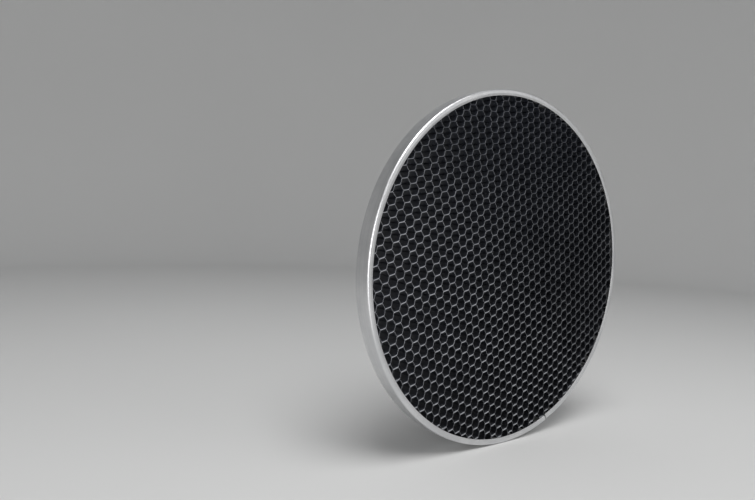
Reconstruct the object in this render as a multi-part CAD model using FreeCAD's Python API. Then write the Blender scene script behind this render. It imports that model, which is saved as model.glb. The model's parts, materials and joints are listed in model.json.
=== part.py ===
import FreeCAD, Part
import math
import os

# Round honeycomb grid for a 28 cm reflector. A thin aluminium channel is rolled into an open
# ring, and a splice strip with two flush rivets closes it at the seam. The channel's two lips
# trap a core of black foil ribbons, bonded flat to flat so that they open into six-sided cells.
#
# Frame: millimetres. The disc stands upright: +Z is up, the disc's axis is Y and its front
# faces -Y. The origin is the centre of the disc, halfway through its depth. A clock angle is
# in degrees clockwise from the top (+Z), seen from the front.

# Ring: an inward-facing U channel
RING_DIAMETER = 270.0
RING_DEPTH = 14.0
LIP_WIDTH = 4.6
SHEET = 0.9
BEND_RADIUS = 1.5
EDGE_RADIUS = 0.4

# Seam: the end that comes first, clockwise, springs inward by about 0.6 mm
SEAM_CLOCK = 158.0
SEAM_GAP = 0.8
SPRUNG_RADIUS = 118.0
SPRUNG_TURN = 16.5

# Splice strip behind the seam, and its two countersunk rivets
SPLICE_THICKNESS = 0.8
SPLICE_WIDTH = 11.0
SPLICE_REACH = 21.0
JOGGLE_RUN = 4.0
RIVET_REACH = 13.0
RIVET_RADIUS = 1.6
RIVET_HEAD_RADIUS = 2.4
RIVET_HEAD_HEIGHT = 0.6
RIVET_TAIL_HEIGHT = 0.6
SEAT_GAP = 0.05
RIVET_GAP = 0.02
CUTTER_REACH = 1.0

# Core: foil ribbons folded into flats joined by slanted webs
CORE_RADIUS = 132.3
CORE_DEPTH = 12.0
COLUMN_PITCH = 6.48
CELL_HEIGHT = 8.03
FLAT_LENGTH = 4.8
FOIL = 0.16
GLUE_LINE = 0.02
RIBBON_TILT = 8.0
CELL_OFFSET = (-2.16, -0.07)
RIBBONS_PER_NODE = 2
FEWEST_FOLDS = 6

# How the core's shape varies over the disc, as sums of terms in the place along the ribbons
# (run) and across them (height): (power of run, power of height, value where both are
# TERM_UNIT). FLAT_TURN is how far every flat rises along the run, in degrees, and the others
# are shifts in millimetres.
TERM_UNIT = 100.0
FLAT_TURN = (
    (0, 0, 6.3),
    (0, 1, -2.7),
    (1, 0, 3.3),
    (0, 2, -3.0),
    (1, 1, -2.9),
)
RUN_STRETCH = (
    (1, 0, -0.07),
    (0, 1, -1.18),
    (1, 1, 3.50),
    (2, 0, -0.91),
    (0, 2, -0.71),
    (2, 1, -1.13),
    (3, 0, -0.79),
    (0, 3, 0.53),
)
HEIGHT_STRETCH = (
    (1, 0, -0.78),
    (0, 1, -0.04),
    (1, 1, -2.62),
    (2, 0, -1.60),
    (0, 2, -0.36),
    (2, 1, 1.09),
    (3, 0, 0.92),
    (0, 3, -0.57),
)

RING_RADIUS = RING_DIAMETER / 2
RIBBON_PITCH = CELL_HEIGHT / 2
AXIS = FreeCAD.Vector(0, 1, 0)
UP = FreeCAD.Vector(0, 0, 1)
CENTRE = FreeCAD.Vector(0, 0, 0)


def radial(clock):
    """Unit vector from the disc's centre towards a clock angle."""
    angle = math.radians(clock)
    return FreeCAD.Vector(math.sin(angle), 0, math.cos(angle))


def at_clock(radius, clock, centre=CENTRE):
    """Point in the plane y = 0 at a radius and clock angle from a centre."""
    return centre + radial(clock) * radius


def degrees_along(length, radius):
    """Angle that an arc of this length spans on this radius."""
    return math.degrees(length / radius)


# The sprung end is an arc of smaller radius, tangent to the ring where it leaves the circle.
SPRUNG_SHIFT = RING_RADIUS - SPRUNG_RADIUS
SPRUNG_SPAN = math.degrees(
    math.atan2(
        SPRUNG_RADIUS * math.sin(math.radians(SPRUNG_TURN)),
        SPRUNG_SHIFT + SPRUNG_RADIUS * math.cos(math.radians(SPRUNG_TURN)),
    )
)
HALF_GAP = degrees_along(SEAM_GAP / 2, RING_RADIUS)
PLAIN_END_CLOCK = SEAM_CLOCK + HALF_GAP
SPRUNG_START_CLOCK = SEAM_CLOCK - HALF_GAP - SPRUNG_SPAN
SPRUNG_END_CLOCK = SPRUNG_START_CLOCK + SPRUNG_TURN
SPRUNG_CENTRE = at_clock(SPRUNG_SHIFT, SPRUNG_START_CLOCK)


def rounded_wire(corners):
    """Closed wire through right-angled corners, each given as (point, rounding radius)."""
    edges = []
    starts = []
    ends = []
    for index, (corner, radius) in enumerate(corners):
        before = (corners[index - 1][0] - corner).normalize()
        after = (corners[(index + 1) % len(corners)][0] - corner).normalize()
        starts.append(corner + before * radius)
        ends.append(corner + after * radius)
        middle = corner + (before + after) * radius * (1 - math.sqrt(0.5))
        edges.append(Part.Arc(starts[-1], middle, ends[-1]).toShape())
    for index, end in enumerate(ends):
        edges.append(Part.LineSegment(end, starts[(index + 1) % len(starts)]).toShape())
    return Part.Wire(Part.__sortEdges__(edges))


def channel_section():
    """Face of the U channel, at clock 0, where the radius runs along +Z."""
    half = RING_DEPTH / 2
    lip = RING_RADIUS - LIP_WIDTH
    inside = BEND_RADIUS - SHEET
    outline = [
        (-half, lip, EDGE_RADIUS),
        (-half, RING_RADIUS, BEND_RADIUS),
        (half, RING_RADIUS, BEND_RADIUS),
        (half, lip, EDGE_RADIUS),
        (half - SHEET, lip, EDGE_RADIUS),
        (half - SHEET, RING_RADIUS - SHEET, inside),
        (SHEET - half, RING_RADIUS - SHEET, inside),
        (SHEET - half, lip, EDGE_RADIUS),
    ]
    corners = [(FreeCAD.Vector(0, y, r), rounding) for y, r, rounding in outline]
    return Part.Face(rounded_wire(corners))


def channel_arc(start_clock, turn, centre=CENTRE):
    """Stretch of channel from a clock angle, turning about an axis through a centre."""
    section = channel_section()
    section.rotate(CENTRE, AXIS, start_clock)
    return section.revolve(centre, AXIS, turn)


def rivet_seats():
    """Each rivet as (centre of the wall's arc, the wall's outer radius, clock angle)."""
    plain = PLAIN_END_CLOCK + degrees_along(RIVET_REACH, RING_RADIUS)
    sprung = SPRUNG_END_CLOCK - degrees_along(RIVET_REACH, SPRUNG_RADIUS)
    return [(CENTRE, RING_RADIUS, plain), (SPRUNG_CENTRE, SPRUNG_RADIUS, sprung)]


def countersunk_body(wall_radius, bottom_radius, gap):
    """Countersunk head and shank along +Z, larger all round by a gap."""
    head_bottom = wall_radius - SEAT_GAP - RIVET_HEAD_HEIGHT
    head_radius = RIVET_HEAD_RADIUS + gap
    head = Part.makeCone(RIVET_RADIUS + gap, head_radius, RIVET_HEAD_HEIGHT, UP * head_bottom, UP)
    shank_length = head_bottom - bottom_radius
    shank = Part.makeCylinder(RIVET_RADIUS + gap, shank_length, UP * bottom_radius, UP)
    return head.fuse(shank)


def place_on_wall(shape, centre, clock):
    """Turns a shape made along +Z to a clock angle and moves it to the arc's centre."""
    shape.rotate(CENTRE, AXIS, clock)
    shape.translate(centre)
    return shape


def cut_rivet_holes(shape):
    """The shape with a countersunk hole for each rivet."""
    depth = SHEET + SPLICE_THICKNESS + CUTTER_REACH
    for centre, wall_radius, clock in rivet_seats():
        hole = countersunk_body(wall_radius, wall_radius - depth, RIVET_GAP)
        mouth = UP * (wall_radius - SEAT_GAP)
        hole = hole.fuse(Part.makeCylinder(RIVET_HEAD_RADIUS + RIVET_GAP, CUTTER_REACH, mouth))
        shape = shape.cut(place_on_wall(hole, centre, clock))
    return shape.removeSplitter()


def ring_channel():
    """The rolled channel: the round stretch, then the sprung end up to the seam."""
    plain_turn = 360 + SPRUNG_START_CLOCK - PLAIN_END_CLOCK
    plain = channel_arc(PLAIN_END_CLOCK, plain_turn)
    sprung = channel_arc(SPRUNG_START_CLOCK, SPRUNG_TURN, SPRUNG_CENTRE)
    return cut_rivet_holes(plain.fuse(sprung))


def splice_side(inset):
    """Edges of one face of the splice strip, inset from the wall's outer radius."""
    plain_radius = RING_RADIUS - inset
    sprung_radius = SPRUNG_RADIUS - inset
    far_clock = PLAIN_END_CLOCK + degrees_along(SPLICE_REACH, RING_RADIUS)
    ramp_clock = PLAIN_END_CLOCK + degrees_along(JOGGLE_RUN, RING_RADIUS)
    near_clock = SPRUNG_END_CLOCK - degrees_along(SPLICE_REACH, SPRUNG_RADIUS)
    plain = [
        at_clock(plain_radius, clock)
        for clock in (far_clock, (far_clock + ramp_clock) / 2, ramp_clock)
    ]
    sprung = [
        at_clock(sprung_radius, clock, SPRUNG_CENTRE)
        for clock in (SPRUNG_END_CLOCK, (SPRUNG_END_CLOCK + near_clock) / 2, near_clock)
    ]
    edges = [
        Part.Arc(*plain).toShape(),
        Part.LineSegment(plain[-1], sprung[0]).toShape(),
        Part.Arc(*sprung).toShape(),
    ]
    return edges, plain[0], sprung[-1]


def splice_strip():
    """Strip that bridges the seam inside the channel, with a joggle for the step there."""
    outer_inset = SHEET + SEAT_GAP
    outer, outer_start, outer_end = splice_side(outer_inset)
    inner, inner_start, inner_end = splice_side(outer_inset + SPLICE_THICKNESS)
    ends = [
        Part.LineSegment(outer_start, inner_start).toShape(),
        Part.LineSegment(outer_end, inner_end).toShape(),
    ]
    plan = Part.Face(Part.Wire(Part.__sortEdges__(outer + inner + ends)))
    plan.translate(AXIS * (-SPLICE_WIDTH / 2))
    return cut_rivet_holes(plan.extrude(AXIS * SPLICE_WIDTH))


def splice_rivets():
    """Two flush rivets, each with its flattened tail inside the channel."""
    rivets = []
    for centre, wall_radius, clock in rivet_seats():
        tail_top = wall_radius - SHEET - SPLICE_THICKNESS - 2 * SEAT_GAP
        base = UP * (tail_top - RIVET_TAIL_HEIGHT)
        tail = Part.makeCylinder(RIVET_HEAD_RADIUS, RIVET_TAIL_HEIGHT, base, UP)
        rivet = countersunk_body(wall_radius, tail_top, 0).fuse(tail).removeSplitter()
        rivets.append(place_on_wall(rivet, centre, clock))
    return Part.makeCompound(rivets)


def sum_of_terms(terms, run, height):
    """Value of a sum of terms at a point given along and across the ribbons."""
    x = run / TERM_UNIT
    z = height / TERM_UNIT
    return sum(value * x**run_power * z**height_power for run_power, height_power, value in terms)


def stretched(run, height):
    """Where the uneven stretch moves a point given along and across the ribbons."""
    moved_run = run + sum_of_terms(RUN_STRETCH, run, height)
    moved_height = height + sum_of_terms(HEIGHT_STRETCH, run, height)
    return FreeCAD.Vector(moved_run, 0, moved_height)


def ribbon_folds(row):
    """Fold points of one untrimmed ribbon, which runs along x and folds along z."""
    swing = (RIBBON_PITCH - FOIL - GLUE_LINE) / 2
    middle_height = CELL_OFFSET[1] + (row + 0.5) * RIBBON_PITCH
    reach = math.ceil(RING_RADIUS / COLUMN_PITCH)
    folds = []
    for column in range(-reach, reach + 1):
        middle = CELL_OFFSET[0] + column * COLUMN_PITCH
        side = 1 if (column + row) % 2 == 0 else -1
        height = middle_height + side * swing
        turn = math.radians(sum_of_terms(FLAT_TURN, middle, height))
        rise = FLAT_LENGTH / 2 * math.tan(turn)
        folds.append(stretched(middle - FLAT_LENGTH / 2, height - rise))
        folds.append(stretched(middle + FLAT_LENGTH / 2, height + rise))
    return folds


def rim_crossing(inner, outer):
    """Point where the line from an inner to an outer point meets the core's edge."""
    step = outer - inner
    half_b = inner.dot(step) / step.dot(step)
    c = (inner.dot(inner) - CORE_RADIUS**2) / step.dot(step)
    return inner + step * (math.sqrt(half_b**2 - c) - half_b)


def ribbon_centreline(row):
    """The ribbon's fold points, trimmed where the ribbon first leaves the round core."""
    folds = ribbon_folds(row)
    first = len(folds) // 2
    last = first
    while folds[first].Length < CORE_RADIUS:
        first -= 1
    while folds[last].Length < CORE_RADIUS:
        last += 1
    inside = folds[first + 1 : last]
    if len(inside) < FEWEST_FOLDS:
        return []
    start = rim_crossing(inside[0], folds[first])
    end = rim_crossing(inside[-1], folds[last])
    return [start] + inside + [end]


def offset_points(points, distance):
    """Points moved sideways from an open line by a distance, with mitred corners."""
    normals = []
    for here, there in zip(points, points[1:]):
        along = (there - here).normalize()
        normals.append(FreeCAD.Vector(-along.z, 0, along.x))
    before = [normals[0]] + normals
    after = normals + [normals[-1]]
    moved = []
    for point, one, other in zip(points, before, after):
        mitre = (one + other) * (1 / (1 + one.dot(other)))
        moved.append(point + mitre * distance)
    return moved


def foil_ribbon(centreline):
    """One folded foil ribbon, standing through the depth of the core."""
    upper = offset_points(centreline, FOIL / 2)
    lower = offset_points(centreline, -FOIL / 2)
    outline = upper + lower[::-1]
    face = Part.Face(Part.makePolygon(outline + outline[:1]))
    face.translate(AXIS * (-CORE_DEPTH / 2))
    ribbon = face.extrude(AXIS * CORE_DEPTH)
    ribbon.rotate(CENTRE, AXIS, -RIBBON_TILT)
    return ribbon


def foil_ribbon_nodes():
    """Node name and shape of each two neighbouring ribbons, from the lowest up."""
    reach = math.ceil(RING_RADIUS / RIBBON_PITCH)
    centrelines = [ribbon_centreline(row) for row in range(-reach, reach)]
    ribbons = [foil_ribbon(line) for line in centrelines if line]
    nodes = {}
    for number, index in enumerate(range(0, len(ribbons), RIBBONS_PER_NODE), start=1):
        neighbours = ribbons[index : index + RIBBONS_PER_NODE]
        nodes[f"foil_ribbons_{number:02d}"] = Part.makeCompound(neighbours)
    return nodes


def main():
    os.makedirs("parts", exist_ok=True)
    nodes = {
        "ring_channel": ring_channel(),
        "splice_strip": splice_strip(),
        "splice_rivets": splice_rivets(),
    }
    nodes.update(foil_ribbon_nodes())
    for name, shape in nodes.items():
        shape.exportStep(f"parts/{name}.step")
        print(name, "solids", len(shape.Solids), "valid", shape.isValid(), round(shape.Volume, 1))


main()
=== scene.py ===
import json
import math

import bmesh
import bpy
import numpy as np
from mathutils import Matrix, Vector, noise


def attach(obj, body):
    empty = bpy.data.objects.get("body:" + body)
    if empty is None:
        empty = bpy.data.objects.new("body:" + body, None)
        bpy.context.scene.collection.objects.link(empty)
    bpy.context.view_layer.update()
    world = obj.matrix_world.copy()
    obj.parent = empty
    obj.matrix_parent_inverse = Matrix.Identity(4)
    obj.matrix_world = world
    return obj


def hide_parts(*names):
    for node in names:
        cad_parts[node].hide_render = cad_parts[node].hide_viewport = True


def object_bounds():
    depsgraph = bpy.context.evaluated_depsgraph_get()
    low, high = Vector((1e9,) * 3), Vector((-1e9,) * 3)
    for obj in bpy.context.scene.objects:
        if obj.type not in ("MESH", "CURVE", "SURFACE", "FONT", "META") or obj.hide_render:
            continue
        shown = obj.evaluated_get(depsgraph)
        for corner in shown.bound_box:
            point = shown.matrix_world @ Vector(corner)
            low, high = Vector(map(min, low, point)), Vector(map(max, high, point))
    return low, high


# A round honeycomb grid, upright, with its front towards -Y. A satin aluminium channel, rolled
# into a ring and closed with a riveted splice strip, holds a core of black foil ribbons.
# Everything is in metres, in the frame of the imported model.

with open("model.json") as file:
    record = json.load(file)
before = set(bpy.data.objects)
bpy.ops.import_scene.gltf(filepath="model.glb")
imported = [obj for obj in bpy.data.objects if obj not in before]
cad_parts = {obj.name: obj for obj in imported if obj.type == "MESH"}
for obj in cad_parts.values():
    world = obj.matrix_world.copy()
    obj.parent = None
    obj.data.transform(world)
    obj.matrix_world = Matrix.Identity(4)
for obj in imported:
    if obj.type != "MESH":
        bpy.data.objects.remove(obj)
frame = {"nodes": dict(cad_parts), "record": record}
CAD_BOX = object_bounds()
MM = 0.001

# The ring's section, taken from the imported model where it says
MOUNTS = {mount["name"]: mount for mount in frame["record"]["mounts"]}
RING_RADIUS = MOUNTS["rim"]["dims"]["r_mm"] * MM
HALF_DEPTH = abs(MOUNTS["front_lip"]["pos_m"][1])
LIP_WIDTH = 4.6 * MM
SHEET = 0.9 * MM
BEND_RADIUS = 1.5 * MM
LIP_CROWN_WIDTH = 1.6 * MM
LIP_CROWN_DROP = 0.38 * MM
LIP_CROWN_RADIUS = 3 * MM
LIP_EDGE_RADIUS = 0.22 * MM
RING_STEPS = 720
ARC_STEPS = 5
RING_SMOOTH = math.radians(40)

# The seam: clock angles run clockwise from the top, seen from the front
SEAM_CLOCK = math.radians(158)
SEAM_GAP = 0.8 * MM
SPRUNG_RADIUS = 118 * MM
SPRUNG_TURN = math.radians(16.5)
SPRUNG_STEPS = 36
RIVET_REACH = 13 * MM
RIVET_RADIUS = 1.6 * MM
RIVET_HEAD_RADIUS = 2.4 * MM
RIVET_HEAD_HEIGHT = 0.6 * MM
RIVET_TAIL_HEIGHT = 0.6 * MM
RIVET_TAIL_SPREAD = 0.96
RIVET_SEAT = 0.05 * MM
RIVET_GAP = 0.06 * MM
RIVET_DOME = 0.02 * MM
RIVET_CUT_REACH = (MM, 2 * MM)
RIVET_STEPS = 48
SPLICE_THICKNESS = 0.8 * MM

# The foil ribbons
FOIL_NODES = sorted(name for name in frame["nodes"] if name.startswith("foil_ribbons"))
CORE_HALF_DEPTH = HALF_DEPTH - MM
FOIL = 0.16 * MM
RIBBON_TILT = math.radians(8)
WELD = 1e-6
FOLD_GAP = 0.6 * MM
FOLD_REACH = 0.8 * MM
FOLD_SHARE = 0.3
FOLD_STEPS = 3
FOIL_SMOOTH = math.radians(50)
EDGE_BAND = 0.9 * MM
CENTRE_BAND = CORE_HALF_DEPTH / 3

# A wall steeper than FLAT_SLOPE is a single one and bows: (size, length over which it varies).
# FLAT_RISE is where a flat ends and a slant begins, as the sine of the slope.
FLAT_SLOPE = math.radians(35)
FLAT_RISE = (0.35, 0.75)
WALL_BOW = (0.14 * MM, 3 * MM)

# How far the foil strays from its regular pattern: (size, length over which it varies)
CELL_DRIFT = (0.32 * MM, 11 * MM)
EDGE_DENT = (0.16 * MM, 4.5 * MM)
EDGE_DENT_DEPTH = 2.2 * MM
EDGE_RIPPLE = (0.22 * MM, 7 * MM)
RIM_HOLD = (120 * MM, 131 * MM)
RIM_FREEDOM = 0.3
NOISE_SEED = 7
CELL_SHIFT = 11.3
DENT_SHIFT = 5.1
RIPPLE_SHIFT = 23.9


# ---------------------------------------------------------------------------
# Node materials
# ---------------------------------------------------------------------------


class Shader:
    """A material's node tree around one Principled shader."""

    def __init__(self, name, **constants):
        self.material = bpy.data.materials.new(name)
        self.material.use_nodes = True
        self.tree = self.material.node_tree
        self.surface = self.tree.nodes["Principled BSDF"]
        for socket, value in constants.items():
            self.surface.inputs[socket.replace("_", " ")].default_value = value

    def add(self, kind, inputs, **settings):
        """A node with its settings and its inputs, which are numbers or other nodes' outputs."""
        node = self.tree.nodes.new("ShaderNode" + kind)
        for key, value in settings.items():
            setattr(node, key, value)
        for key, value in inputs.items():
            if isinstance(value, bpy.types.NodeSocket):
                self.tree.links.new(value, node.inputs[key])
            else:
                node.inputs[key].default_value = value
        return node

    def drive(self, socket, output):
        self.tree.links.new(output, self.surface.inputs[socket])

    def math(self, operation, first, second=0.0):
        return self.add("Math", {0: first, 1: second}, operation=operation).outputs[0]

    def stretch(self, vector, scale):
        """The coordinate, scaled axis by axis."""
        return self.add("Mapping", {"Vector": vector, "Scale": scale}).outputs["Vector"]

    def noise(self, vector, scale, detail=4.0, roughness=0.5):
        inputs = {"Vector": vector, "Scale": scale, "Detail": detail, "Roughness": roughness}
        return self.add("TexNoise", inputs).outputs["Fac"]

    def ramp(self, value, low, high, to_low, to_high):
        """The value carried from one range to another, with smooth ends."""
        inputs = {"Value": value, 1: low, 2: high, 3: to_low, 4: to_high}
        return self.add("MapRange", inputs, interpolation_type="SMOOTHSTEP").outputs["Result"]

    def blend(self, factor, first, second):
        """A colour between two colours."""
        node = self.add("Mix", {"Factor": factor}, data_type="RGBA")
        for socket, value in ((node.inputs[6], first), (node.inputs[7], second)):
            if isinstance(value, bpy.types.NodeSocket):
                self.tree.links.new(value, socket)
            else:
                socket.default_value = (*value, 1.0)
        return node.outputs[2]

    def bump(self, height, distance, strength=1.0, under=None):
        inputs = {"Height": height, "Distance": distance, "Strength": strength}
        if under is not None:
            inputs["Normal"] = under
        return self.add("Bump", inputs).outputs["Normal"]


def object_place(shader):
    return shader.add("TexCoord", {}).outputs["Object"]


def satin_aluminium():
    """Roll-formed strip: fine lines along it, faint staining, waviness, and sheared edges made dark
    grey and rougher.
    """
    shader = Shader("satin_aluminium", Metallic=1.0)
    strip = shader.add("UVMap", {}, uv_map="strip").outputs["UV"]
    place = object_place(shader)
    wide_lines = shader.noise(shader.stretch(strip, (4, 900, 1)), 1.0, detail=1.0)
    fine_lines = shader.noise(shader.stretch(strip, (25, 5200, 1)), 1.0, detail=3.0)
    stain = shader.noise(place, 38.0, detail=6.0, roughness=0.62)
    rub = shader.noise(shader.stretch(strip, (60, 700, 1)), 1.0, detail=5.0, roughness=0.7)

    tone = shader.ramp(stain, 0.3, 0.7, 0.0, 1.0)
    colour = shader.blend(tone, (0.66, 0.665, 0.675), (0.80, 0.80, 0.805))
    line_tone = shader.ramp(wide_lines, 0.35, 0.65, 0.0, 0.35)
    colour = shader.blend(line_tone, colour, (0.58, 0.585, 0.60))
    # The lips' sheared inner edges are made dark grey and rougher.
    sheared = shader.add("Attribute", {}, attribute_name="sheared").outputs["Fac"]
    sheared = shader.ramp(sheared, 0.6, 0.95, 0.0, 1.0)
    shader.drive("Base Color", shader.blend(sheared, colour, (0.20, 0.20, 0.205)))
    rough = shader.ramp(rub, 0.3, 0.7, 0.30, 0.44)
    shader.drive("Roughness", shader.math("MAXIMUM", rough, shader.math("MULTIPLY", sheared, 0.6)))
    normal = shader.bump(fine_lines, 0.012 * MM, 0.7)
    normal = shader.bump(wide_lines, 0.06 * MM, 0.6, normal)
    normal = shader.bump(shader.noise(place, 22.0, detail=2.0), 0.5 * MM, 0.5, normal)
    shader.drive("Normal", normal)
    return shader.material


def mill_aluminium():
    """Plain sheet as it leaves the mill: short lengthwise scratches and dull patches."""
    shader = Shader("mill_aluminium", Metallic=1.0)
    place = object_place(shader)
    scratches = shader.noise(shader.stretch(place, (60, 2400, 60)), 1.0, detail=4.0)
    patches = shader.noise(place, 120.0, detail=5.0)
    colour = shader.blend(patches, (0.52, 0.525, 0.53), (0.72, 0.72, 0.72))
    shader.drive("Base Color", colour)
    shader.drive("Roughness", shader.ramp(scratches, 0.3, 0.7, 0.32, 0.55))
    shader.drive("Normal", shader.bump(scratches, 0.02 * MM, 0.6))
    return shader.material


def rivet_aluminium():
    """Rivet metal, marked by the tool that set it and dark in its pits."""
    shader = Shader("rivet_aluminium", Metallic=1.0)
    place = object_place(shader)
    pits = shader.noise(place, 1400.0, detail=4.0)
    colour = shader.blend(shader.ramp(pits, 0.35, 0.55, 0, 1), (0.30, 0.30, 0.31), (0.74, 0.74, 0.74))
    shader.drive("Base Color", colour)
    shader.drive("Roughness", shader.ramp(pits, 0.3, 0.7, 0.5, 0.3))
    shader.drive("Normal", shader.bump(pits, 0.06 * MM, 0.8))
    return shader.material


def black_foil():
    """Black satin coating on foil, rubbed to grey metal along the cut edges, with some dust; light is
    painted in too: the bared edges are painted brighter towards the bottom left and darker at the
    top, upward faces get a wider painted sheen and paler painted top light, and the coating is
    painted paler towards the top left.
    """
    shader = Shader("black_foil", Specular_IOR_Level=0.4)
    place = object_place(shader)
    axes = shader.add("SeparateXYZ", {"Vector": place}).outputs
    facing = shader.add("NewGeometry", {}).outputs["True Normal"]
    facing = shader.add("SeparateXYZ", {"Vector": facing}).outputs
    facing_up = facing["Z"]

    depth = shader.math("ABSOLUTE", axes["Y"])
    grain = shader.noise(place, 900.0, detail=4.0, roughness=0.6)
    patches = shader.noise(place, 55.0, detail=5.0, roughness=0.6)
    cut_edge = shader.ramp(shader.math("ABSOLUTE", facing["Y"]), 0.5, 0.8, 0.0, 1.0)
    # Painted sheen: the bared strip along each cut edge is 0.1 mm wide on downward faces and widens
    # to 1 mm on upward faces. This stands in for light from above catching the tops of the walls.
    band = shader.ramp(facing_up, 0.0, 1.0, 0.1 * MM, 1.0 * MM)
    band = shader.math("MULTIPLY", band, shader.ramp(grain, 0.3, 0.7, 0.7, 1.3))
    from_edge = shader.math("SUBTRACT", CORE_HALF_DEPTH, depth)
    rubbed_and_sheen = shader.ramp(shader.math("SUBTRACT", band, from_edge), 0.0, 0.16 * MM, 0.0, 1.0)
    worn_and_lit = shader.math("MAXIMUM", cut_edge, rubbed_and_sheen)
    # Painted light: how bright the bared edges show is painted as a gradient over the grid. Flats are
    # brightest towards the bottom left and dim towards the top right. Slants are brighter on the left
    # and painted darker at the very bottom.
    to_top_right = shader.math("ADD", axes["Z"], shader.math("MULTIPLY", axes["X"], 0.85))
    painted_flat_light = shader.ramp(to_top_right, -80 * MM, 65 * MM, 0.44, 0.066)
    painted_slant_light = shader.ramp(axes["X"], -90 * MM, 80 * MM, 0.38, 0.15)
    painted_low_shade = shader.ramp(axes["Z"], -110 * MM, -40 * MM, 0.65, 1.15)
    painted_slant_light = shader.math("MULTIPLY", painted_slant_light, painted_low_shade)
    slant = shader.add("Attribute", {}, attribute_name="slant").outputs["Fac"]
    painted_edge_light = shader.add("Mix", {"Factor": slant, "A": painted_flat_light, "B": painted_slant_light}).outputs["Result"]
    # Painted shade: all the bared edges are painted darker near the top.
    painted_edge_light = shader.math("MULTIPLY", painted_edge_light, shader.ramp(axes["Z"], 45 * MM, 95 * MM, 1.0, 0.65))
    blotches = shader.ramp(patches, 0.25, 0.75, 0.85, 1.15)
    worn_and_lit = shader.math("MULTIPLY", worn_and_lit, shader.math("MULTIPLY", painted_edge_light, blotches))

    # Painted light: the black coating is painted paler towards the top left and darker towards the
    # bottom right; the random patches added on top are real unevenness in its tone.
    to_top_left = shader.math("SUBTRACT", axes["Z"], axes["X"])
    lit_tone_and_patches = shader.ramp(to_top_left, -130 * MM, 160 * MM, 0.0, 0.85)
    lit_tone_and_patches = shader.math("ADD", lit_tone_and_patches, shader.ramp(patches, 0.3, 0.7, 0.0, 0.15))
    coating = shader.blend(lit_tone_and_patches, (0.0036, 0.0042, 0.0068), (0.019, 0.0215, 0.030))
    # Upward faces turn paler: partly dust settling on them, partly painted light from above.
    dust_and_top_light = shader.ramp(facing_up, 0.3, 0.95, 0.0, 0.05)
    dust_and_top_light = shader.math("MULTIPLY", dust_and_top_light, shader.ramp(grain, 0.3, 0.7, 0.4, 1.0))
    coating = shader.blend(dust_and_top_light, coating, (0.38, 0.40, 0.43))
    shader.drive("Base Color", shader.blend(worn_and_lit, coating, (0.78, 0.80, 0.85)))
    shader.drive("Metallic", shader.math("MULTIPLY", worn_and_lit, 0.3))
    rough = shader.ramp(patches, 0.3, 0.7, 0.42, 0.58)
    shader.drive("Roughness", rough)
    wrinkles = shader.noise(shader.stretch(place, (1.0, 0.35, 1.0)), 620.0, detail=3.0)
    normal = shader.bump(wrinkles, 0.05 * MM, 0.5)
    shader.drive("Normal", shader.bump(grain, 0.01 * MM, 0.5, normal))
    return shader.material


def pale_backdrop():
    """Matt pale paper."""
    shader = Shader("pale_backdrop", Roughness=0.9, Specular_IOR_Level=0.15)
    place = object_place(shader)
    fibre = shader.noise(place, 400.0, detail=5.0)
    cloud = shader.noise(place, 1.3, detail=2.0)
    paper = shader.blend(cloud, (0.60, 0.60, 0.595), (0.66, 0.66, 0.655))
    shader.drive("Base Color", shader.blend(fibre, paper, (0.63, 0.63, 0.625)))
    shader.drive("Normal", shader.bump(fibre, 0.1 * MM, 0.2))
    return shader.material


# ---------------------------------------------------------------------------
# Mesh helpers
# ---------------------------------------------------------------------------


def link_mesh(name, bm, materials, smooth_angle=RING_SMOOTH):
    """Turns a bmesh into a shown object with outward faces, smooth up to an angle."""
    bmesh.ops.recalc_face_normals(bm, faces=bm.faces)
    mesh = bpy.data.meshes.new(name)
    bm.to_mesh(mesh)
    bm.free()
    for material in materials:
        mesh.materials.append(material)
    mesh.shade_smooth()
    mesh.set_sharp_from_angle(angle=smooth_angle)
    made = bpy.data.objects.new(name, mesh)
    bpy.context.scene.collection.objects.link(made)
    return made


def stand_for(made, node):
    """The piece rides on the part's body, in place of a CAD node."""
    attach(made, "root")
    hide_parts(node)


def rounded_outline(corners):
    """Closed outline through corners given as (x, y, radius), with true arcs."""
    points = []
    for index, (x, y, radius) in enumerate(corners):
        corner = Vector((x, y))
        before = (Vector(corners[index - 1][:2]) - corner).normalized()
        after = (Vector(corners[(index + 1) % len(corners)][:2]) - corner).normalized()
        turn = math.pi - before.angle(after)
        cut = radius * math.tan(turn / 2)
        weight = math.cos(turn / 2)
        for step in range(ARC_STEPS + 1):
            t = step / ARC_STEPS
            near, middle, far = (1 - t) ** 2, 2 * weight * t * (1 - t), t**2
            total = corner * middle + (corner + before * cut) * near + (corner + after * cut) * far
            points.append(total / (near + middle + far))
    return points


def lathe(bm, outline, steps):
    """Turns a closed outline of (radius, height) about Z."""
    rings = [
        [bm.verts.new((r * math.cos(a), r * math.sin(a), z)) for r, z in outline]
        for a in (2 * math.pi * step / steps for step in range(steps))
    ]
    count = len(outline)
    for here, there in zip(rings, rings[1:] + rings[:1]):
        for index in range(count):
            after = (index + 1) % count
            bm.faces.new((here[index], here[after], there[after], there[index]))


# ---------------------------------------------------------------------------
# Ring
# ---------------------------------------------------------------------------


def radial(clock):
    """Unit vector from the centre towards a clock angle."""
    return Vector((math.sin(clock), 0, math.cos(clock)))


SPRUNG_SHIFT = RING_RADIUS - SPRUNG_RADIUS
SPRUNG_SPAN = math.atan2(
    SPRUNG_RADIUS * math.sin(SPRUNG_TURN),
    SPRUNG_SHIFT + SPRUNG_RADIUS * math.cos(SPRUNG_TURN),
)
PLAIN_END = SEAM_CLOCK + SEAM_GAP / 2 / RING_RADIUS
SPRUNG_START = SEAM_CLOCK - SEAM_GAP / 2 / RING_RADIUS - SPRUNG_SPAN
SPRUNG_CENTRE = radial(SPRUNG_START) * SPRUNG_SHIFT


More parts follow.
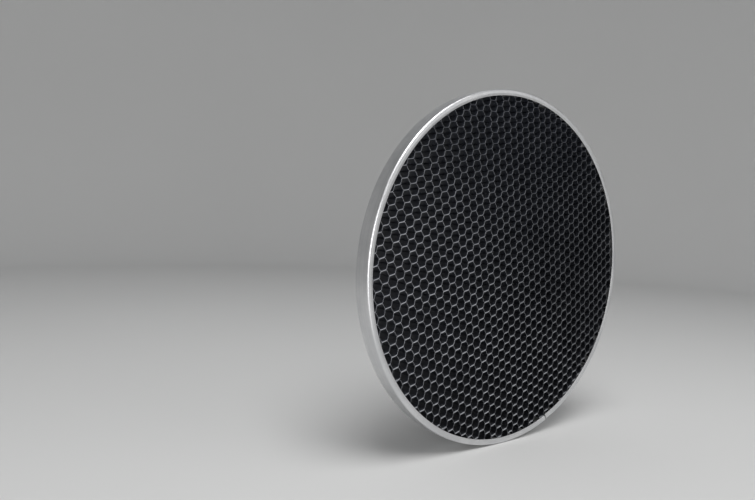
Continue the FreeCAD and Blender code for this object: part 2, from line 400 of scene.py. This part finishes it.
def channel_outline():
    """Outline of the U channel as (depth, radius): the lips' front faces fall off inwards."""
    lip = RING_RADIUS - LIP_WIDTH
    crown = lip + LIP_CROWN_WIDTH
    inner = HALF_DEPTH - SHEET
    half = [
        (-inner, RING_RADIUS - SHEET, BEND_RADIUS - SHEET),
        (-inner, lip, LIP_EDGE_RADIUS),
        (LIP_CROWN_DROP - HALF_DEPTH, lip, LIP_EDGE_RADIUS),
        (-HALF_DEPTH, crown, LIP_CROWN_RADIUS),
        (-HALF_DEPTH, RING_RADIUS, BEND_RADIUS),
    ]
    other_half = [(-depth, radius, rounding) for depth, radius, rounding in reversed(half)]
    return rounded_outline(half + other_half)


def ring_stations():
    """Each station round the ring as (arc's centre, shift of the radius, clock, length so far)."""
    plain_turn = 2 * math.pi + SPRUNG_START - PLAIN_END
    stations = []
    for step in range(RING_STEPS + 1):
        turned = plain_turn * step / RING_STEPS
        stations.append((Vector(), 0.0, PLAIN_END + turned, turned * RING_RADIUS))
    plain_length = plain_turn * RING_RADIUS
    for step in range(1, SPRUNG_STEPS + 1):
        turned = SPRUNG_TURN * step / SPRUNG_STEPS
        length = plain_length + turned * SPRUNG_RADIUS
        stations.append((SPRUNG_CENTRE, SPRUNG_SHIFT, SPRUNG_START + turned, length))
    return stations


def swept_channel():
    """The channel's mesh, with a map of the strip: length along it and distance across it."""
    outline = channel_outline()
    count = len(outline)
    across = [0.0]
    for here, there in zip(outline, outline[1:] + outline[:1]):
        across.append(across[-1] + (there - here).length)
    bm = bmesh.new()
    strip = bm.loops.layers.uv.new("strip")
    sheared = bm.verts.layers.float.new("sheared")
    lip = RING_RADIUS - LIP_WIDTH
    rows = []
    for centre, shift, clock, length in ring_stations():
        verts = [
            bm.verts.new(centre + radial(clock) * (radius - shift) + Vector((0, depth, 0)))
            for depth, radius in outline
        ]
        for vert, (_, radius) in zip(verts, outline):
            vert[sheared] = max(0.0, 1 - (radius - lip) / LIP_EDGE_RADIUS)
        rows.append((verts, length))
    for (here, here_length), (there, there_length) in zip(rows, rows[1:]):
        for index in range(count):
            after = (index + 1) % count
            face = bm.faces.new((here[index], here[after], there[after], there[index]))
            places = (
                (here_length, across[index]),
                (here_length, across[index + 1]),
                (there_length, across[index + 1]),
                (there_length, across[index]),
            )
            for loop, place in zip(face.loops, places):
                loop[strip].uv = place
    bm.faces.new(rows[0][0])
    bm.faces.new(rows[-1][0])
    return bm


def rivet_seats():
    """Each rivet's place: the frame with its axis along +Z, out through the ring's wall."""
    seats = []
    plain_clock = PLAIN_END + RIVET_REACH / RING_RADIUS
    sprung_clock = SPRUNG_START + SPRUNG_TURN - RIVET_REACH / SPRUNG_RADIUS
    for centre, radius, clock in (
        (Vector(), RING_RADIUS, plain_clock),
        (SPRUNG_CENTRE, SPRUNG_RADIUS, sprung_clock),
    ):
        surface = centre + radial(clock) * radius
        seats.append(Matrix.Translation(surface) @ Matrix.Rotation(clock, 4, "Y"))
    return seats


def cut(piece, cutter):
    """Cuts one object out of another and removes the cutter."""
    modifier = piece.modifiers.new("cut", "BOOLEAN")
    modifier.object = cutter
    modifier.operation = "DIFFERENCE"
    modifier.solver = "EXACT"
    graph = bpy.context.evaluated_depsgraph_get()
    mesh = bpy.data.meshes.new_from_object(piece.evaluated_get(graph), depsgraph=graph)
    piece.modifiers.clear()
    piece.data = mesh
    bpy.data.objects.remove(cutter)


def rivet_hole(seat):
    """A cutter for one countersunk hole."""
    head = RIVET_HEAD_RADIUS + RIVET_GAP
    shank = RIVET_RADIUS + RIVET_GAP
    outside, inside = RIVET_CUT_REACH
    outline = [
        (0, outside),
        (head, outside),
        (head, -RIVET_SEAT),
        (shank, -RIVET_SEAT - RIVET_HEAD_HEIGHT),
        (shank, -inside),
        (0, -inside),
    ]
    bm = bmesh.new()
    lathe(bm, outline, RIVET_STEPS)
    bmesh.ops.remove_doubles(bm, verts=bm.verts, dist=WELD)
    bmesh.ops.transform(bm, matrix=seat, verts=bm.verts)
    return link_mesh("rivet_hole", bm, [])


def make_ring(material):
    ring = link_mesh("ring", swept_channel(), [material])
    for seat in rivet_seats():
        cut(ring, rivet_hole(seat))
    ring.data.shade_smooth()
    ring.data.set_sharp_from_angle(angle=RING_SMOOTH)
    stand_for(ring, "ring_channel")


def make_rivets(material):
    """Two flush rivets: a lightly domed head, a shank and a flattened tail."""
    tail_top = -RIVET_SEAT * 2 - SHEET - SPLICE_THICKNESS
    tail_end = tail_top - RIVET_TAIL_HEIGHT
    outline = rounded_outline(
        [
            (0.0, -RIVET_DOME, 0.0),
            (RIVET_HEAD_RADIUS, -RIVET_SEAT, 0.12 * MM),
            (RIVET_RADIUS, -RIVET_SEAT - RIVET_HEAD_HEIGHT, 0.1 * MM),
            (RIVET_RADIUS, tail_top, 0.0),
            (RIVET_HEAD_RADIUS, tail_top, 0.2 * MM),
            (RIVET_HEAD_RADIUS * RIVET_TAIL_SPREAD, tail_end, 0.25 * MM),
            (0.0, tail_end, 0.0),
        ]
    )
    bm = bmesh.new()
    for seat in rivet_seats():
        one = bmesh.new()
        lathe(one, outline, RIVET_STEPS)
        bmesh.ops.remove_doubles(one, verts=one.verts, dist=WELD)
        bmesh.ops.transform(one, matrix=seat, verts=one.verts)
        part = bpy.data.meshes.new("one_rivet")
        one.to_mesh(part)
        one.free()
        bm.from_mesh(part)
        bpy.data.meshes.remove(part)
    stand_for(link_mesh("rivets", bm, [material]), "splice_rivets")


# ---------------------------------------------------------------------------
# Foil core
# ---------------------------------------------------------------------------


def islands(bm):
    """The mesh's separate solids, as lists of vertices."""
    left = set(bm.verts)
    for seed in bm.verts:
        if seed not in left:
            continue
        left.remove(seed)
        found = [seed]
        for vert in found:
            for edge in vert.link_edges:
                other = edge.other_vert(vert)
                if other in left:
                    left.remove(other)
                    found.append(other)
        yield found


def in_ribbon_axes(point):
    """A point's places along and across the ribbons."""
    c, s = math.cos(RIBBON_TILT), math.sin(RIBBON_TILT)
    return point.x * c + point.z * s, point.z * c - point.x * s


def fold_lines(node):
    """Fold points of the node's ribbons, read from the front edge of its solids."""
    bm = bmesh.new()
    bm.from_mesh(frame["nodes"][node].data)
    bmesh.ops.remove_doubles(bm, verts=bm.verts, dist=WELD)
    lines = []
    for solid in islands(bm):
        front = min(vert.co.y for vert in solid)
        edge = sorted(in_ribbon_axes(vert.co) for vert in solid if vert.co.y < front + WELD)
        folds = [[edge[0]]]
        for point in edge[1:]:
            if point[0] - folds[-1][-1][0] > FOLD_GAP:
                folds.append([])
            folds[-1].append(point)
        lines.append(np.array([np.mean(fold, axis=0) for fold in folds]))
    bm.free()
    return sorted(lines, key=lambda line: line[:, 1].mean())


def wall_bow(middle):
    """How far a single wall bends out of flat, fixed by where it stands."""
    size, length = WALL_BOW
    return noise.noise(Vector((middle[0], middle[1], 0)) / length) * size


def rounded_walls(line):
    """Points along a ribbon: walls slightly bowed, and folds rounded."""
    walls = np.diff(line, axis=0)
    lengths = np.linalg.norm(walls, axis=1)
    along = walls / lengths[:, None]
    reach = np.minimum(FOLD_REACH, lengths * FOLD_SHARE)
    points = [line[0]]
    for index, direction in enumerate(along):
        start, end = line[index], line[index + 1]
        middle = (start + end) / 2
        if abs(direction[1]) > math.sin(FLAT_SLOPE):
            middle = middle + np.array((-direction[1], direction[0])) * wall_bow(middle)
        if index > 0:
            points.append(start + direction * reach[index])
        points.append(middle)
        if index + 1 < len(along):
            before = end - direction * reach[index]
            after = end + along[index + 1] * reach[index + 1]
            points.append(before)
            for step in range(1, FOLD_STEPS):
                t = step / FOLD_STEPS
                points.append(before * (1 - t) ** 2 + end * 2 * t * (1 - t) + after * t**2)
    points.append(line[-1])
    return np.array(points)


def drift(point, kind, shift):
    """A smooth uneven move; the shift picks another part of the same noise."""
    size, length = kind
    return noise.noise_vector(Vector(point) / length + Vector((shift, shift, shift))) * size


def strayed(along, across, depth):
    """Where a point of the foil really lies, as (along, depth, across)."""
    flat = (along, across, 0.0)
    edge_nearness = max(0.0, 1 - (CORE_HALF_DEPTH - abs(depth)) / EDGE_DENT_DEPTH)
    move = drift(flat, CELL_DRIFT, CELL_SHIFT)
    move = move + drift((along, across, depth * 2), EDGE_DENT, DENT_SHIFT) * edge_nearness
    radius = math.hypot(along, across)
    held = min(1.0, max(0.0, (radius - RIM_HOLD[0]) / (RIM_HOLD[1] - RIM_HOLD[0])))
    move = move * (1 - (1 - RIM_FREEDOM) * held)
    ripple = abs(drift(flat, EDGE_RIPPLE, RIPPLE_SHIFT).z * edge_nearness)
    return along + move.x, depth + math.copysign(ripple, -depth), across + move.y


def ribbon_solid(bm, line):
    """Adds one ribbon, swept through the core's depth, to the mesh."""
    levels = [-CORE_HALF_DEPTH, EDGE_BAND - CORE_HALF_DEPTH, -CENTRE_BAND]
    levels = levels + [-level for level in reversed(levels)]
    middle = np.array(
        [[strayed(p[0], p[1], depth) for depth in levels] for p in rounded_walls(line)]
    )
    tangent = np.gradient(middle, axis=0)
    tangent[:, :, 1] = 0
    tangent /= np.linalg.norm(tangent, axis=2, keepdims=True)
    normal = np.stack((-tangent[:, :, 2], tangent[:, :, 1], tangent[:, :, 0]), axis=2)
    loop = np.concatenate(
        (middle + normal * FOIL / 2, (middle - normal * FOIL / 2)[:, ::-1]), axis=1
    )
    c, s = math.cos(RIBBON_TILT), math.sin(RIBBON_TILT)
    along, across = loop[:, :, 0].copy(), loop[:, :, 2].copy()
    loop[:, :, 0] = along * c - across * s
    loop[:, :, 2] = along * s + across * c
    slope = np.abs(tangent[:, :, 2])
    slope = np.concatenate((slope, slope[:, ::-1]), axis=1)
    slants = np.clip((slope - FLAT_RISE[0]) / (FLAT_RISE[1] - FLAT_RISE[0]), 0, 1)
    slant = bm.verts.layers.float["slant"]
    rows = []
    for station, shares in zip(loop, slants):
        rows.append([bm.verts.new(point) for point in station])
        for vert, share in zip(rows[-1], shares):
            vert[slant] = share
    count = len(levels) * 2
    for here, there in zip(rows, rows[1:]):
        for index in range(count):
            after = (index + 1) % count
            bm.faces.new((here[index], here[after], there[after], there[index]))
    for end in (rows[0], rows[-1]):
        for index in range(len(levels) - 1):
            across_side = count - 1 - index
            bm.faces.new((end[index], end[index + 1], end[across_side - 1], end[across_side]))


def make_core(material):
    noise.seed_set(NOISE_SEED)
    for node in FOIL_NODES:
        bm = bmesh.new()
        bm.verts.layers.float.new("slant")
        for line in fold_lines(node):
            ribbon_solid(bm, line)
        name = node.replace("foil_ribbons", "folded_foil")
        stand_for(link_mesh(name, bm, [material], FOIL_SMOOTH), node)


# ---------------------------------------------------------------------------
# Stage
# ---------------------------------------------------------------------------

FLOOR_RADIUS = 1.5
SWEEP_RADIUS = 0.6
WALL_HEIGHT = 2.4
SWEEP_STEPS = 16
BACKDROP_STEPS = 96
FLOOR_CLEARANCE = 0.1 * MM
CAMERA_PLACE = Vector((-0.3664, -0.3337, 0.0375))
CAMERA_YAW = math.radians(36.14)
CAMERA_PITCH = math.radians(-3.19)
CAMERA_ROLL = math.radians(2.33)
CAMERA_LENS = 30.04


def make_backdrop(material):
    """A round pale floor that sweeps up into a wall on every side."""
    ground = CAD_BOX[0].z - FLOOR_CLEARANCE
    profile = [(0.0, ground), (FLOOR_RADIUS, ground)]
    for step in range(1, SWEEP_STEPS + 1):
        angle = math.pi / 2 * step / SWEEP_STEPS
        out = FLOOR_RADIUS + SWEEP_RADIUS * math.sin(angle)
        profile.append((out, ground + SWEEP_RADIUS * (1 - math.cos(angle))))
    profile.append((FLOOR_RADIUS + SWEEP_RADIUS, ground + WALL_HEIGHT))
    bm = bmesh.new()
    rings = [
        [bm.verts.new((r * math.cos(a), r * math.sin(a), z)) for r, z in profile]
        for a in (2 * math.pi * step / BACKDROP_STEPS for step in range(BACKDROP_STEPS))
    ]
    for here, there in zip(rings, rings[1:] + rings[:1]):
        for index in range(len(profile) - 1):
            bm.faces.new((here[index], there[index], there[index + 1], here[index + 1]))
    bmesh.ops.remove_doubles(bm, verts=bm.verts, dist=WELD)
    link_mesh("backdrop", bm, [material])


def softbox(name, place, size, power, aim=Vector((0, 0, 0))):
    """A soft area light, turned towards a point."""
    lamp = bpy.data.lights.new(name, "AREA")
    lamp.shape = "RECTANGLE"
    lamp.size, lamp.size_y = size
    lamp.energy = power
    made = bpy.data.objects.new(name, lamp)
    made.location = place
    made.rotation_euler = (aim - Vector(place)).to_track_quat("-Z", "Y").to_euler()
    bpy.context.scene.collection.objects.link(made)


def make_lights():
    softbox("key", (-0.3, -0.55, 1.3), (0.9, 0.9), 17)
    softbox("fill", (0.9, -1.3, 0.7), (1.2, 1.2), 3)
    softbox("low", (-0.45, -1.05, 0.1), (0.6, 0.45), 4.1)
    world = bpy.data.worlds.new("studio")
    world.use_nodes = True
    background = world.node_tree.nodes["Background"]
    background.inputs["Color"].default_value = (0.95, 0.97, 1.0, 1.0)
    background.inputs["Strength"].default_value = 0.3
    bpy.context.scene.world = world
    bpy.context.scene.view_settings.view_transform = "Standard"


def make_camera():
    camera = bpy.data.cameras.new("camera")
    camera.lens = CAMERA_LENS
    camera.clip_start = 0.01
    made = bpy.data.objects.new("camera", camera)
    turn = Matrix.Rotation(-CAMERA_YAW, 4, "Z") @ Matrix.Rotation(math.pi / 2 + CAMERA_PITCH, 4, "X")
    made.matrix_world = (
        Matrix.Translation(CAMERA_PLACE) @ turn @ Matrix.Rotation(CAMERA_ROLL, 4, "Z")
    )
    bpy.context.scene.collection.objects.link(made)
    bpy.context.scene.camera = made


def give_material(node, material):
    """A CAD node that is shown as it is, with a better material."""
    shown = frame["nodes"][node]
    for material_slot in shown.material_slots:
        material_slot.material = material


make_camera()
make_lights()
make_backdrop(pale_backdrop())
make_ring(satin_aluminium())
make_rivets(rivet_aluminium())
make_core(black_foil())
give_material("splice_strip", mill_aluminium())
